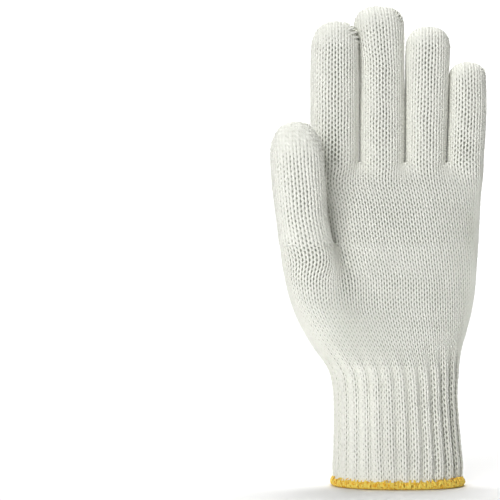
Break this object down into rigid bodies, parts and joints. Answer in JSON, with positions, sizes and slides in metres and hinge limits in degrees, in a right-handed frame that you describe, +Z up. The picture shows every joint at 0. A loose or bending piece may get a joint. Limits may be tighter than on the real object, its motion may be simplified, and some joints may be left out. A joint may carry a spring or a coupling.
{
  "type": "knit work glove",
  "caption": "Seamless knitted work glove for the left hand, with fitted digits, a ribbed cuff and an overcast yellow hem.",
  "frame": {"origin": "centre of the opening that the hand goes in through, level with the foot of the hem", "axes": "+Z up along the hand towards the fingertips, -Y the way the palm faces, +X from the thumb's side towards the little finger's side"},
  "size_m": [0.1078, 0.061, 0.237],
  "materials": {
    "knit": "matte creamy white nylon string knit",
    "hem_yarn": "matte yellow overcast yarn"
  },
  "bodies": {
    "root": {"little_finger": "knit", "ring_finger": "knit", "middle_finger": "knit", "index_finger": "knit", "thumb": "knit", "upper_hand": "knit", "lower_hand": "knit", "cuff": "knit", "hem": "hem_yarn"}
  },
  "joints": []
}
